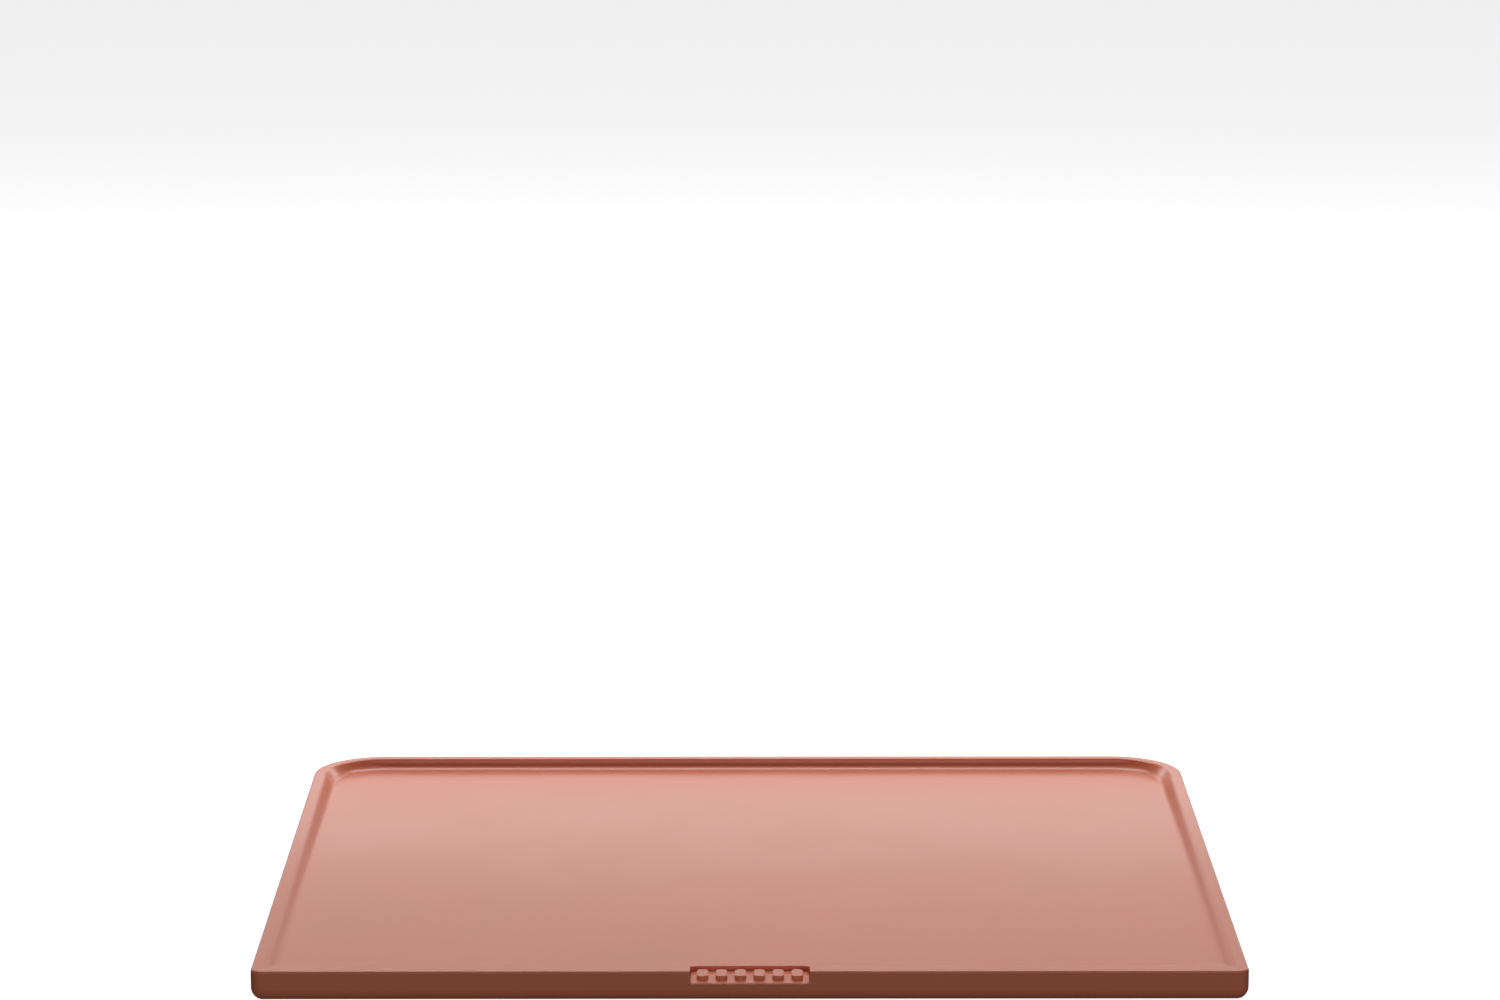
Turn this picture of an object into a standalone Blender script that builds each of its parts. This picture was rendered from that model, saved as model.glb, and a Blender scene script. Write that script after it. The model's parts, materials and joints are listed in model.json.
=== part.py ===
"""A shallow countertop tray: a hollow moulded body with a low rim, a base panel, a badge and four feet.

Metres, +Z up. The tray stands on the plane z = 0, its plan is centred on the origin, and -Y is its front.
"""

import math

import bmesh
import bpy
from mathutils import Matrix

# Overall sizes
WIDTH = 0.400
DEPTH = 0.355
BODY_HEIGHT = 0.0127
FOOT_PROUD = 0.0010

# Corners of the body in plan, and the rounding of its outer edges
BACK_CORNER_RADIUS = 0.031
FRONT_CORNER_RADIUS = 0.0047
BOTTOM_EDGE_RADIUS = 0.0051
TOP_EDGE_RADIUS = 0.0009

# The dish: how deep it is, and how far in from the outline each side of it starts and ends
DISH_DEPTH = 0.0048
SIDE_CREST = 0.0026
SIDE_SLOPE_END = 0.0100
BACK_CREST = 0.0044
BACK_SLOPE_END = 0.0102
BACK_ROUND = 0.0009
FRONT_CREST = 0.0026
FRONT_RAMP_END = 0.0270
SHARP_CORNER_RADIUS = 0.0008

# The hollow underside and the panel that closes it
SKIN = 0.0024
PANEL_LIP = 0.0065
PANEL_LEDGE = 0.0030
PANEL_THICKNESS = 0.0020
RIB_THICKNESS = 0.0016
RIB_RELIEF = 0.0002
RIBS_EACH_WAY = 2

# The slot in the middle of the front rim, and the badge that lies in it
SLOT_WIDTH = 0.048
SLOT_LENGTH = 0.0188
SLOT_DEPTH = 0.0052
SLOT_CORNER_RADIUS = 0.0032
SLOT_MOUTH_RADIUS = 0.0002
SLOT_FRONT_LIP = 0.0008
SLOT_PAD_MARGIN = 0.0030
BADGE_THICKNESS = 0.0012
BAR_COUNT = 6
BAR_HEIGHT = 0.0019
BAR_SLIT = 0.0030
BAR_END_FLAT = 0.0006
BAR_SIDE_MARGIN = 0.0027
BAR_FRONT_MARGIN = 0.0046
BAR_BACK_MARGIN = 0.0042

# Feet
FOOT_RADIUS = 0.0080
FOOT_INSET = 0.0350
FOOT_RECESS = 0.0009
FOOT_EDGE = 0.0003

# Gaps between pieces, and how finely curves are cut
GAP = 0.0003
BADGE_GAP = 0.0002
OVERLAP = 0.0010
CORNER_STEPS = 12
EDGE_STEPS = 5
SLOPE_STEPS = 12
FOOT_STEPS = 48
SMOOTH_ANGLE = math.radians(35)

# Levels worked out from the sizes above
BODY_BOTTOM = FOOT_PROUD
CREST = BODY_BOTTOM + BODY_HEIGHT
FLOOR = CREST - DISH_DEPTH
CEILING = FLOOR - SKIN
LEDGE = BODY_BOTTOM + PANEL_THICKNESS + GAP
SLOT_FLOOR = CREST - SLOT_DEPTH
FRONT = -DEPTH / 2
BAR_ROW = SLOT_WIDTH - 2 * BAR_SIDE_MARGIN
BAR_WIDTH = (BAR_ROW - (BAR_COUNT - 1) * BAR_SLIT) / BAR_COUNT

TERRACOTTA = (0.72, 0.20, 0.11, 1.0)
PANEL_BROWN = (0.24, 0.11, 0.09, 1.0)
FOOT_BLACK = (0.03, 0.03, 0.03, 1.0)


def clear_scene():
    for old in list(bpy.data.objects):
        bpy.data.objects.remove(old, do_unlink=True)


def finish(name, colour, roughness):
    material = bpy.data.materials.new(name)
    material.use_nodes = True
    shader = material.node_tree.nodes["Principled BSDF"]
    shader.inputs["Base Color"].default_value = colour
    shader.inputs["Roughness"].default_value = roughness
    shader.inputs["Metallic"].default_value = 0.0
    return material


def add_object(name, mesh_maker, material=None):
    """A new object from a bmesh, with its faces turned outwards and its round faces shaded smooth."""
    bmesh.ops.recalc_face_normals(mesh_maker, faces=mesh_maker.faces)
    mesh = bpy.data.meshes.new(name)
    mesh_maker.to_mesh(mesh)
    mesh_maker.free()
    mesh.shade_smooth()
    mesh.set_sharp_from_angle(angle=SMOOTH_ANGLE)
    if material:
        mesh.materials.append(material)
    new = bpy.data.objects.new(name, mesh)
    bpy.context.scene.collection.objects.link(new)
    return new


def rounded_rectangle(low, high, front_radius, back_radius, z):
    """Points anticlockwise round a rectangle in plan, its front and back corners rounded apart."""
    corners = (
        (high[0] - front_radius, low[1] + front_radius, front_radius, -90),
        (high[0] - back_radius, high[1] - back_radius, back_radius, 0),
        (low[0] + back_radius, high[1] - back_radius, back_radius, 90),
        (low[0] + front_radius, low[1] + front_radius, front_radius, 180),
    )
    points = []
    for centre_x, centre_y, radius, start in corners:
        for step in range(CORNER_STEPS + 1):
            angle = math.radians(start + 90 * step / CORNER_STEPS)
            x = centre_x + radius * math.cos(angle)
            y = centre_y + radius * math.sin(angle)
            points.append((x, y, z))
    return points


def loft(rings):
    """A closed skin through rings that all have the same number of points, capped at both ends."""
    made = bmesh.new()
    loops = [[made.verts.new(point) for point in ring] for ring in rings]
    for lower, upper in zip(loops, loops[1:]):
        for here in range(len(lower)):
            there = (here + 1) % len(lower)
            made.faces.new((lower[here], lower[there], upper[there], upper[here]))
    made.faces.new(loops[0])
    made.faces.new(loops[-1])
    return made


def inset_ring(inset, z):
    """The body's outline moved in by one distance all round."""
    low = (-WIDTH / 2 + inset, -DEPTH / 2 + inset)
    high = (WIDTH / 2 - inset, DEPTH / 2 - inset)
    front_radius = max(FRONT_CORNER_RADIUS - inset, SHARP_CORNER_RADIUS)
    return rounded_rectangle(low, high, front_radius, BACK_CORNER_RADIUS - inset, z)


def edge_arc(radius, centre_z, start):
    """(inset, z) steps over a quarter round of the outer edge, from start degrees below level."""
    steps = []
    for step in range(EDGE_STEPS + 1):
        angle = math.radians(start + 90 * step / EDGE_STEPS)
        steps.append((radius * (1 - math.cos(angle)), centre_z + radius * math.sin(angle)))
    return steps


def cove_inset(depth, run):
    """How far in the back wall is at a depth below the crest: a small round, then a hollow cove."""
    if depth < BACK_ROUND:
        return math.sqrt(BACK_ROUND**2 - (BACK_ROUND - depth) ** 2)
    share = min(1.0, (depth - BACK_ROUND) / (DISH_DEPTH - BACK_ROUND))
    return BACK_ROUND + (run - BACK_ROUND) * (1 - math.sqrt(1 - share * share))


def dish_ring(share):
    """One level line of the dish, from the crest at share 0 to the floor at share 1.

    The side rims fall in an S and the front in a straight ramp. The back rounds its crest and falls
    in a cove.
    """
    drop = (1 - math.cos(math.pi * share)) / 2
    side = SIDE_CREST + (SIDE_SLOPE_END - SIDE_CREST) * share
    front = FRONT_CREST + (FRONT_RAMP_END - FRONT_CREST) * drop
    back = BACK_CREST + cove_inset(DISH_DEPTH * drop, BACK_SLOPE_END - BACK_CREST)
    crest_radius = FRONT_CORNER_RADIUS - FRONT_CREST
    front_radius = crest_radius + (SHARP_CORNER_RADIUS - crest_radius) * drop
    back_radius = BACK_CORNER_RADIUS - (side + back) / 2
    low = (-WIDTH / 2 + side, -DEPTH / 2 + front)
    high = (WIDTH / 2 - side, DEPTH / 2 - back)
    return rounded_rectangle(low, high, front_radius, back_radius, CREST - DISH_DEPTH * drop)


def box(name, low, high):
    made = bmesh.new()
    bmesh.ops.create_cube(made, size=1.0)
    size = [high[axis] - low[axis] for axis in range(3)]
    middle = [(high[axis] + low[axis]) / 2 for axis in range(3)]
    bmesh.ops.scale(made, vec=size, verts=made.verts)
    bmesh.ops.translate(made, vec=middle, verts=made.verts)
    return add_object(name, made)


def combine(target, helper, operation):
    """Adds the helper to the target, or cuts it away, with a Boolean that stays live."""
    helper.hide_render = True
    helper.display_type = "WIRE"
    modifier = target.modifiers.new(helper.name, "BOOLEAN")
    modifier.operation = operation
    modifier.solver = "EXACT"
    modifier.object = helper


def slot_outline(front_y, grow, z):
    """The front slot in plan: square at its open front, rounded at its back."""
    low = (-SLOT_WIDTH / 2 - grow, front_y)
    high = (SLOT_WIDTH / 2 + grow, FRONT + SLOT_LENGTH + grow)
    return rounded_rectangle(low, high, SLOT_MOUTH_RADIUS, SLOT_CORNER_RADIUS + grow, z)


def make_ribs(body):
    """Stiffening ribs across the hollow, and the solid pad that the slot is sunk into."""
    bottom = LEDGE + RIB_RELIEF
    top = CEILING + OVERLAP
    reach_x = WIDTH / 2 - PANEL_LIP - PANEL_LEDGE + OVERLAP
    reach_y = DEPTH / 2 - PANEL_LIP - PANEL_LEDGE + OVERLAP
    half = RIB_THICKNESS / 2
    for number in range(RIBS_EACH_WAY):
        place = (number + 1) / (RIBS_EACH_WAY + 1) - 0.5
        x = place * WIDTH
        y = place * DEPTH
        along = box(f"rib_y_{number}", (x - half, -reach_y, bottom), (x + half, reach_y, top))
        across = box(f"rib_x_{number}", (-reach_x, y - half, bottom), (reach_x, y + half, top))
        combine(body, along, "UNION")
        combine(body, across, "UNION")
    pad_half = SLOT_WIDTH / 2 + SLOT_PAD_MARGIN
    pad_back = FRONT + SLOT_LENGTH + SLOT_PAD_MARGIN
    pad = box("slot_pad", (-pad_half, -reach_y, bottom), (pad_half, pad_back, top))
    combine(body, pad, "UNION")


def cut_slot(body):
    """The slot opens through the front face above a low lip, and its floor is sunk for the badge."""
    above = CREST + OVERLAP
    pocket_floor = SLOT_FLOOR - BADGE_THICKNESS - GAP
    pocket_front = FRONT + SLOT_FRONT_LIP
    pocket = loft([slot_outline(pocket_front, 0, z) for z in (pocket_floor, above)])
    combine(body, add_object("slot_pocket", pocket), "DIFFERENCE")
    low = (-SLOT_WIDTH / 2, FRONT - OVERLAP, SLOT_FLOOR)
    high = (SLOT_WIDTH / 2, FRONT + SLOT_FRONT_LIP + OVERLAP, above)
    combine(body, box("slot_mouth", low, high), "DIFFERENCE")


def make_body():
    opening = PANEL_LIP + PANEL_LEDGE
    rings = [
        inset_ring(opening, CEILING),
        inset_ring(opening, LEDGE),
        inset_ring(PANEL_LIP, LEDGE),
        inset_ring(PANEL_LIP, BODY_BOTTOM),
    ]
    outer = edge_arc(BOTTOM_EDGE_RADIUS, BODY_BOTTOM + BOTTOM_EDGE_RADIUS, -90)
    outer += edge_arc(TOP_EDGE_RADIUS, CREST - TOP_EDGE_RADIUS, 0)
    rings += [inset_ring(inset, z) for inset, z in outer]
    rings += [dish_ring(step / SLOPE_STEPS) for step in range(SLOPE_STEPS + 1)]
    body = add_object("tray_body", loft(rings), finish("body_terracotta", TERRACOTTA, 0.30))
    make_ribs(body)
    cut_slot(body)
    return body


def foot_places():
    places = {}
    for end, y in (("front", FRONT + FOOT_INSET), ("back", DEPTH / 2 - FOOT_INSET)):
        places[f"foot_{end}_left"] = (-WIDTH / 2 + FOOT_INSET, y)
        places[f"foot_{end}_right"] = (WIDTH / 2 - FOOT_INSET, y)
    return places


def disc(radius, low_z, high_z):
    made = bmesh.new()
    middle = Matrix.Translation((0, 0, (low_z + high_z) / 2))
    bmesh.ops.create_cone(
        made,
        cap_ends=True,
        segments=FOOT_STEPS,
        radius1=radius,
        radius2=radius,
        depth=high_z - low_z,
        matrix=middle,
    )
    return made


def make_panel():
    """The panel that closes the underside, flush with it, with a recess for each foot."""
    inset = PANEL_LIP + GAP
    top = BODY_BOTTOM + PANEL_THICKNESS
    skin = loft([inset_ring(inset, BODY_BOTTOM), inset_ring(inset, top)])
    panel = add_object("underside_panel", skin, finish("panel_brown", PANEL_BROWN, 0.6))
    for name, (x, y) in foot_places().items():
        cutter = disc(FOOT_RADIUS + GAP, BODY_BOTTOM - OVERLAP, BODY_BOTTOM + FOOT_RECESS)
        helper = add_object(name + "_recess", cutter)
        helper.location = (x, y, 0)
        combine(panel, helper, "DIFFERENCE")


def make_feet():
    rubber = finish("foot_rubber", FOOT_BLACK, 0.8)
    top = BODY_BOTTOM + FOOT_RECESS - GAP
    for name, (x, y) in foot_places().items():
        made = disc(FOOT_RADIUS, 0, top)
        rim = [edge for edge in made.edges if all(vert.co.z < top / 2 for vert in edge.verts)]
        bmesh.ops.bevel(made, geom=rim, offset=FOOT_EDGE, segments=2, profile=0.5, affect="EDGES")
        foot = add_object(name, made, rubber)
        foot.location = (x, y, 0)


def bar_outline(number, z):
    """One of the badge's bars in plan: a slim slot shape with nearly half-round ends."""
    left = -BAR_ROW / 2 + number * (BAR_WIDTH + BAR_SLIT)
    low = (left, FRONT + BAR_FRONT_MARGIN)
    high = (left + BAR_WIDTH, FRONT + SLOT_LENGTH - BAR_BACK_MARGIN)
    radius = BAR_WIDTH / 2 - BAR_END_FLAT / 2
    return rounded_rectangle(low, high, radius, radius, z)


def make_badge():
    """A thin plate on the slot's floor with a plain row of equal rounded bars standing on it."""
    front = FRONT + SLOT_FRONT_LIP + BADGE_GAP
    levels = (SLOT_FLOOR - BADGE_THICKNESS, SLOT_FLOOR)
    plate = loft([slot_outline(front, -BADGE_GAP, z) for z in levels])
    badge = add_object("badge_plate", plate, finish("badge_terracotta", TERRACOTTA, 0.30))
    bar_levels = (SLOT_FLOOR - BADGE_THICKNESS / 2, SLOT_FLOOR + BAR_HEIGHT)
    for number in range(BAR_COUNT):
        bar = loft([bar_outline(number, z) for z in bar_levels])
        combine(badge, add_object(f"bar_{number}", bar), "UNION")


def main():
    clear_scene()
    make_body()
    make_panel()
    make_feet()
    make_badge()


main()
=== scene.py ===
"""A shallow countertop tray in satin terracotta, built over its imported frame.

Metres, +Z up. The tray stands on z = 0, centred on the origin, with its badge slot at -Y.
"""

import json
import math

import bmesh
import bpy
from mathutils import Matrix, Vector

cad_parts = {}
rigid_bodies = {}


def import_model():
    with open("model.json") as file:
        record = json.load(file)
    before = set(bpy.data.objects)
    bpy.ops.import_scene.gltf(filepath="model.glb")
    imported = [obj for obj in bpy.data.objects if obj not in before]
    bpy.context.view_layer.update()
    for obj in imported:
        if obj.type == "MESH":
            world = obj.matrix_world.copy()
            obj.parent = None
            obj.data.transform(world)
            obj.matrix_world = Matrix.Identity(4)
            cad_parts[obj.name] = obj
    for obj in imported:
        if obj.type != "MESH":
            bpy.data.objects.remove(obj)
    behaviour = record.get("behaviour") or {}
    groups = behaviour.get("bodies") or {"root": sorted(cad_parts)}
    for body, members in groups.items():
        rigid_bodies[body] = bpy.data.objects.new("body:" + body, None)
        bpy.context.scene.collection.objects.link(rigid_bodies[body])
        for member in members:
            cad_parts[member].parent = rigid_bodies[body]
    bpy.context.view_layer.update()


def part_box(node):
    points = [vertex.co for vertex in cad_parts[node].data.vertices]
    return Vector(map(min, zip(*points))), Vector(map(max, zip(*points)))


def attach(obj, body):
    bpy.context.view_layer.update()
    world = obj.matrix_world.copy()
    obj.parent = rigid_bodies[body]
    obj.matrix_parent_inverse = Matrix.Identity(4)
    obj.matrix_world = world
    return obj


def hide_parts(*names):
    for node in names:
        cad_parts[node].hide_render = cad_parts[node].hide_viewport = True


bl_info = {
    "name": "Countertop tray",
    "version": (1, 0, 0),
    "blender": (4, 5, 0),
    "location": "3D view > Sidebar > Tray",
    "description": "Makes a shallow rimmed tray with a badge slot, a base panel and four feet",
    "category": "Object",
}

for old in list(bpy.data.objects):
    bpy.data.objects.remove(old, do_unlink=True)
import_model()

BODY_LOW, BODY_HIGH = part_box("tray_body")
BADGE_LOW, BADGE_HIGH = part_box("badge_plate")
PANEL_LOW, PANEL_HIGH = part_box("underside_panel")
FEET = ("foot_front_left", "foot_front_right", "foot_back_left", "foot_back_right")

# How far apart two places may be and still count as the same, in metres
TINY = 1e-6
NEAR = TINY * 10
LOOSE = TINY * 100

# Faces that turn by less than the first lie in one plane, and by more than the second meet in a sharp edge
FLAT_ANGLE = math.radians(0.05)
SMOOTH_ANGLE = math.radians(50)


# ---------------------------------------------------------------- sizes and colours


class TraySizes(bpy.types.PropertyGroup):
    """Sizes of the moulded body, measured in from its outline."""

    back_corner: bpy.props.FloatProperty(
        name="Back corner radius",
        description="Radius of the two wide corners in plan",
        default=0.031,
        unit="LENGTH",
    )
    front_corner: bpy.props.FloatProperty(
        name="Front corner radius",
        description="Radius of the two tight corners in plan",
        default=0.0047,
        unit="LENGTH",
    )
    bottom_edge: bpy.props.FloatProperty(
        name="Bottom edge radius",
        description="Rounding of the lower outer edge",
        default=0.0051,
        unit="LENGTH",
    )
    top_edge: bpy.props.FloatProperty(
        name="Top edge radius",
        description="Rounding of the upper outer edge",
        default=0.0009,
        unit="LENGTH",
    )
    dish_depth: bpy.props.FloatProperty(
        name="Dish depth",
        description="Drop from the crest of the rim to the floor",
        default=0.0048,
        unit="LENGTH",
    )
    side_crest: bpy.props.FloatProperty(
        name="Side crest",
        description="Where the side rims start to fall",
        default=0.0042,
        unit="LENGTH",
    )
    side_end: bpy.props.FloatProperty(
        name="Side slope end",
        description="Where the side rims reach the floor",
        default=0.0100,
        unit="LENGTH",
    )
    back_crest: bpy.props.FloatProperty(
        name="Back crest",
        description="Where the back rim starts to fall",
        default=0.0044,
        unit="LENGTH",
    )
    back_end: bpy.props.FloatProperty(
        name="Back slope end",
        description="Where the back rim reaches the floor",
        default=0.0102,
        unit="LENGTH",
    )
    back_round: bpy.props.FloatProperty(
        name="Back rim round",
        description="Rounding of the back rim's inner edge",
        default=0.0009,
        unit="LENGTH",
    )
    front_crest: bpy.props.FloatProperty(
        name="Front crest",
        description="Where the front rim starts to fall",
        default=0.0026,
        unit="LENGTH",
    )
    front_end: bpy.props.FloatProperty(
        name="Front ramp end",
        description="Where the front ramp reaches the floor",
        default=0.0270,
        unit="LENGTH",
    )
    sharp_corner: bpy.props.FloatProperty(
        name="Sharp corner radius",
        description="Radius of the floor's front corners",
        default=0.0008,
        unit="LENGTH",
    )
    slot_width: bpy.props.FloatProperty(
        name="Slot width",
        description="Width of the slot in the front rim",
        default=0.048,
        unit="LENGTH",
    )
    slot_length: bpy.props.FloatProperty(
        name="Slot length",
        description="How far the slot runs back from the front face",
        default=0.0188,
        unit="LENGTH",
    )
    slot_depth: bpy.props.FloatProperty(
        name="Slot depth",
        description="Drop from the crest to the slot's floor",
        default=0.0052,
        unit="LENGTH",
    )
    slot_corner: bpy.props.FloatProperty(
        name="Slot corner radius",
        description="Radius of the slot's back corners in plan",
        default=0.0032,
        unit="LENGTH",
    )
    slot_lip: bpy.props.FloatProperty(
        name="Slot lip",
        description="Thickness of the low lip in front of the badge",
        default=0.0008,
        unit="LENGTH",
    )
    slot_edge: bpy.props.FloatProperty(
        name="Slot edge radius",
        description="Rounding of the slot's edges",
        default=0.00035,
        unit="LENGTH",
    )
    ledge: bpy.props.FloatProperty(
        name="Panel ledge",
        description="Width of the ledge that the base panel rests against",
        default=0.0030,
        unit="LENGTH",
    )
    skin: bpy.props.FloatProperty(
        name="Dish thickness",
        description="Thickness of the moulding under the dish floor",
        default=0.0024,
        unit="LENGTH",
    )
    rib: bpy.props.FloatProperty(
        name="Rib thickness",
        description="Thickness of the ribs across the hollow",
        default=0.0016,
        unit="LENGTH",
    )
    pad_margin: bpy.props.FloatProperty(
        name="Slot pad margin",
        description="How far the solid pad under the slot stands out around it",
        default=0.0030,
        unit="LENGTH",
    )


class BadgeSizes(bpy.types.PropertyGroup):
    """Sizes of the badge plate's row of bars."""

    bar_count: bpy.props.IntProperty(
        name="Bars",
        description="Number of bars in the row",
        default=6,
        min=1,
    )
    bar_slit: bpy.props.FloatProperty(
        name="Slit",
        description="Gap between two bars",
        default=0.0030,
        unit="LENGTH",
    )
    side_margin: bpy.props.FloatProperty(
        name="Side margin",
        description="From the slot's sides to the first and last bar",
        default=0.0027,
        unit="LENGTH",
    )
    front_margin: bpy.props.FloatProperty(
        name="Front margin",
        description="From the front face to the bars",
        default=0.0046,
        unit="LENGTH",
    )
    back_margin: bpy.props.FloatProperty(
        name="Back margin",
        description="From the bars to the slot's back wall",
        default=0.0042,
        unit="LENGTH",
    )
    bar_end_flat: bpy.props.FloatProperty(
        name="Flat end",
        description="Flat stretch left in the middle of each bar's round end",
        default=0.0006,
        unit="LENGTH",
    )
    bar_edge: bpy.props.FloatProperty(
        name="Bar edge radius",
        description="Rounding of the bars' upper edges",
        default=0.0004,
        unit="LENGTH",
    )


class BaseSizes(bpy.types.PropertyGroup):
    """Sizes of the base panel and the feet."""

    panel_edge: bpy.props.FloatProperty(
        name="Panel edge radius",
        description="Rounding of the panel's lower edge",
        default=0.0003,
        unit="LENGTH",
    )
    recess_gap: bpy.props.FloatProperty(
        name="Recess gap",
        description="Gap round and above each foot in its recess",
        default=0.0003,
        unit="LENGTH",
    )
    foot_edge: bpy.props.FloatProperty(
        name="Foot edge radius",
        description="Rounding of the lower edge of each foot",
        default=0.0004,
        unit="LENGTH",
    )
    groove_inset: bpy.props.FloatProperty(
        name="Groove inset",
        description="From a foot's edge to the groove in its underside",
        default=0.0018,
        unit="LENGTH",
    )
    groove_width: bpy.props.FloatProperty(
        name="Groove width",
        description="Width of the groove in each foot's underside",
        default=0.0009,
        unit="LENGTH",
    )
    groove_depth: bpy.props.FloatProperty(
        name="Groove depth",
        description="Depth of the groove in each foot's underside",
        default=0.0003,
        unit="LENGTH",
    )


class TrayColours(bpy.types.PropertyGroup):
    """Colours and finish of the pieces."""

    terracotta: bpy.props.FloatVectorProperty(
        name="Terracotta",
        description="Colour of the body and the badge",
        default=(0.72, 0.20, 0.11),
        subtype="COLOR",
        min=0.0,
        max=1.0,
    )
    gloss: bpy.props.FloatProperty(
        name="Body roughness",
        description="Roughness of the satin finish",
        default=0.30,
        min=0.0,
        max=1.0,
    )
    panel: bpy.props.FloatVectorProperty(
        name="Base panel",
        description="Colour of the base panel",
        default=(0.24, 0.11, 0.09),
        subtype="COLOR",
        min=0.0,
        max=1.0,
    )
    rubber: bpy.props.FloatVectorProperty(
        name="Rubber",
        description="Colour of the feet",
        default=(0.03, 0.03, 0.03),
        subtype="COLOR",
        min=0.0,
        max=1.0,
    )


# ---------------------------------------------------------------- modelling by hand


def clear_selection():
    if bpy.context.mode != "OBJECT":
        bpy.ops.object.mode_set(mode="OBJECT")
    bpy.ops.object.select_all(action="DESELECT")


def make_active(piece):
    clear_selection()
    piece.select_set(True)
    bpy.context.view_layer.objects.active = piece


def edit(piece, select_mode="VERT"):
    make_active(piece)
    bpy.ops.object.mode_set(mode="EDIT")
    bpy.ops.mesh.select_mode(type=select_mode)
    bpy.ops.mesh.select_all(action="DESELECT")


def select_where(kind, test):
    """Selects the vertices, edges or faces of the mesh in edit mode that pass the test."""
    mesh = bpy.context.object.data
    made = bmesh.from_edit_mesh(mesh)
    for part in list(made.verts) + list(made.edges) + list(made.faces):
        part.select = False
    for part in [part for part in getattr(made, kind) if test(part)]:
        part.select_set(True)
    bmesh.update_edit_mesh(mesh)


def corner_centres(ring):
    """The middles of a ring's four corner arcs, with each one's radius."""
    x = BODY_HIGH.x - ring["side"]
    front = BODY_LOW.y + ring["front"] + ring["front_radius"]
    back = BODY_HIGH.y - ring["back"] - ring["back_radius"]
    centres = []
    for way in (-1, 1):
        centres.append((way * (x - ring["front_radius"]), front, ring["front_radius"]))
        centres.append((way * (x - ring["back_radius"]), back, ring["back_radius"]))
    return centres


def even_ring(inset, z, sizes):
    """The body's outline moved in by one distance all round."""
    return {
        "side": inset,
        "front": inset,
        "back": inset,
        "front_radius": max(sizes.front_corner - inset, sizes.sharp_corner),
        "back_radius": sizes.back_corner - inset,
        "z": z,
    }


def add_rounded_face(name, low, high, radii, z, steps):
    """Starts a piece as one flat face in edit mode, its front and back corners rounded in plan."""
    clear_selection()
    middle_y = (low[1] + high[1]) / 2
    bpy.ops.mesh.primitive_plane_add(size=1.0, location=((low[0] + high[0]) / 2, middle_y, z))
    piece = bpy.context.object
    piece.name = name
    piece.scale = (high[0] - low[0], high[1] - low[1], 1)
    bpy.ops.object.transform_apply(location=True, rotation=True, scale=True)
    edit(piece)
    corners = high[0] - TINY
    for is_back, radius in ((False, radii[0]), (True, radii[1])):
        select_where(
            "verts",
            lambda vert: (vert.co.y > middle_y) == is_back and is_end(vert, low, corners),
        )
        bpy.ops.mesh.bevel(offset=radius, segments=steps, profile=0.5, affect="VERTICES")
    select_where("faces", lambda face: True)
    return piece


def is_end(vert, low, right):
    return vert.co.x > right or vert.co.x < low[0] + TINY


def add_ring_face(name, ring, corner_steps):
    """Starts the body as the flat face inside one ring of its outline."""
    low = (BODY_LOW.x + ring["side"], BODY_LOW.y + ring["front"])
    high = (BODY_HIGH.x - ring["side"], BODY_HIGH.y - ring["back"])
    radii = (ring["front_radius"], ring["back_radius"])
    return add_rounded_face(name, low, high, radii, ring["z"], corner_steps)


def next_ring(old, new):
    """Extrudes the selected face to the next level, then moves its corners to their new arcs."""
    raise_face(new["z"] - old["z"])
    mesh = bpy.context.object.data
    made = bmesh.from_edit_mesh(mesh)
    ring = [vert.index for vert in made.verts if vert.select]
    middle_y = (BODY_LOW.y + old["front"] + BODY_HIGH.y - old["back"]) / 2
    for before, after in zip(corner_centres(old), corner_centres(new)):
        made = bmesh.from_edit_mesh(mesh)
        made.verts.ensure_lookup_table()
        for vert in made.verts:
            vert.select = False
        for index in ring:
            vert = made.verts[index]
            same_side = (vert.co.x > 0) == (before[0] > 0)
            vert.select = same_side and (vert.co.y > middle_y) == (before[1] > middle_y)
        made.select_flush(False)
        bmesh.update_edit_mesh(mesh)
        slide = (after[0] - before[0], after[1] - before[1], 0)
        bpy.ops.transform.translate(value=slide)
        size = after[2] / before[2]
        bpy.ops.transform.resize(value=(size, size, 1), center_override=(after[0], after[1], new["z"]))
    made = bmesh.from_edit_mesh(mesh)
    made.verts.ensure_lookup_table()
    for vert in made.verts:
        vert.select = False
    for index in ring:
        made.verts[index].select = True
    made.select_flush(True)
    bmesh.update_edit_mesh(mesh)


def quarter_round(radius, centre_z, start, steps):
    """(inset, z) steps over a quarter round of the outer edge, from start degrees below level."""
    made = []
    for step in range(steps + 1):
        angle = math.radians(start + 90 * step / steps)
        made.append((radius * (1 - math.cos(angle)), centre_z + radius * math.sin(angle)))
    return made


def cove_inset(depth, sizes):
    """How far in the back wall is at a depth below the crest: a small round, then a hollow cove."""
    turn = sizes.back_round
    if depth < turn:
        return math.sqrt(turn**2 - (turn - depth) ** 2)
    share = min(1.0, (depth - turn) / (sizes.dish_depth - turn))
    run = sizes.back_end - sizes.back_crest
    return turn + (run - turn) * (1 - math.sqrt(1 - share * share))


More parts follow.
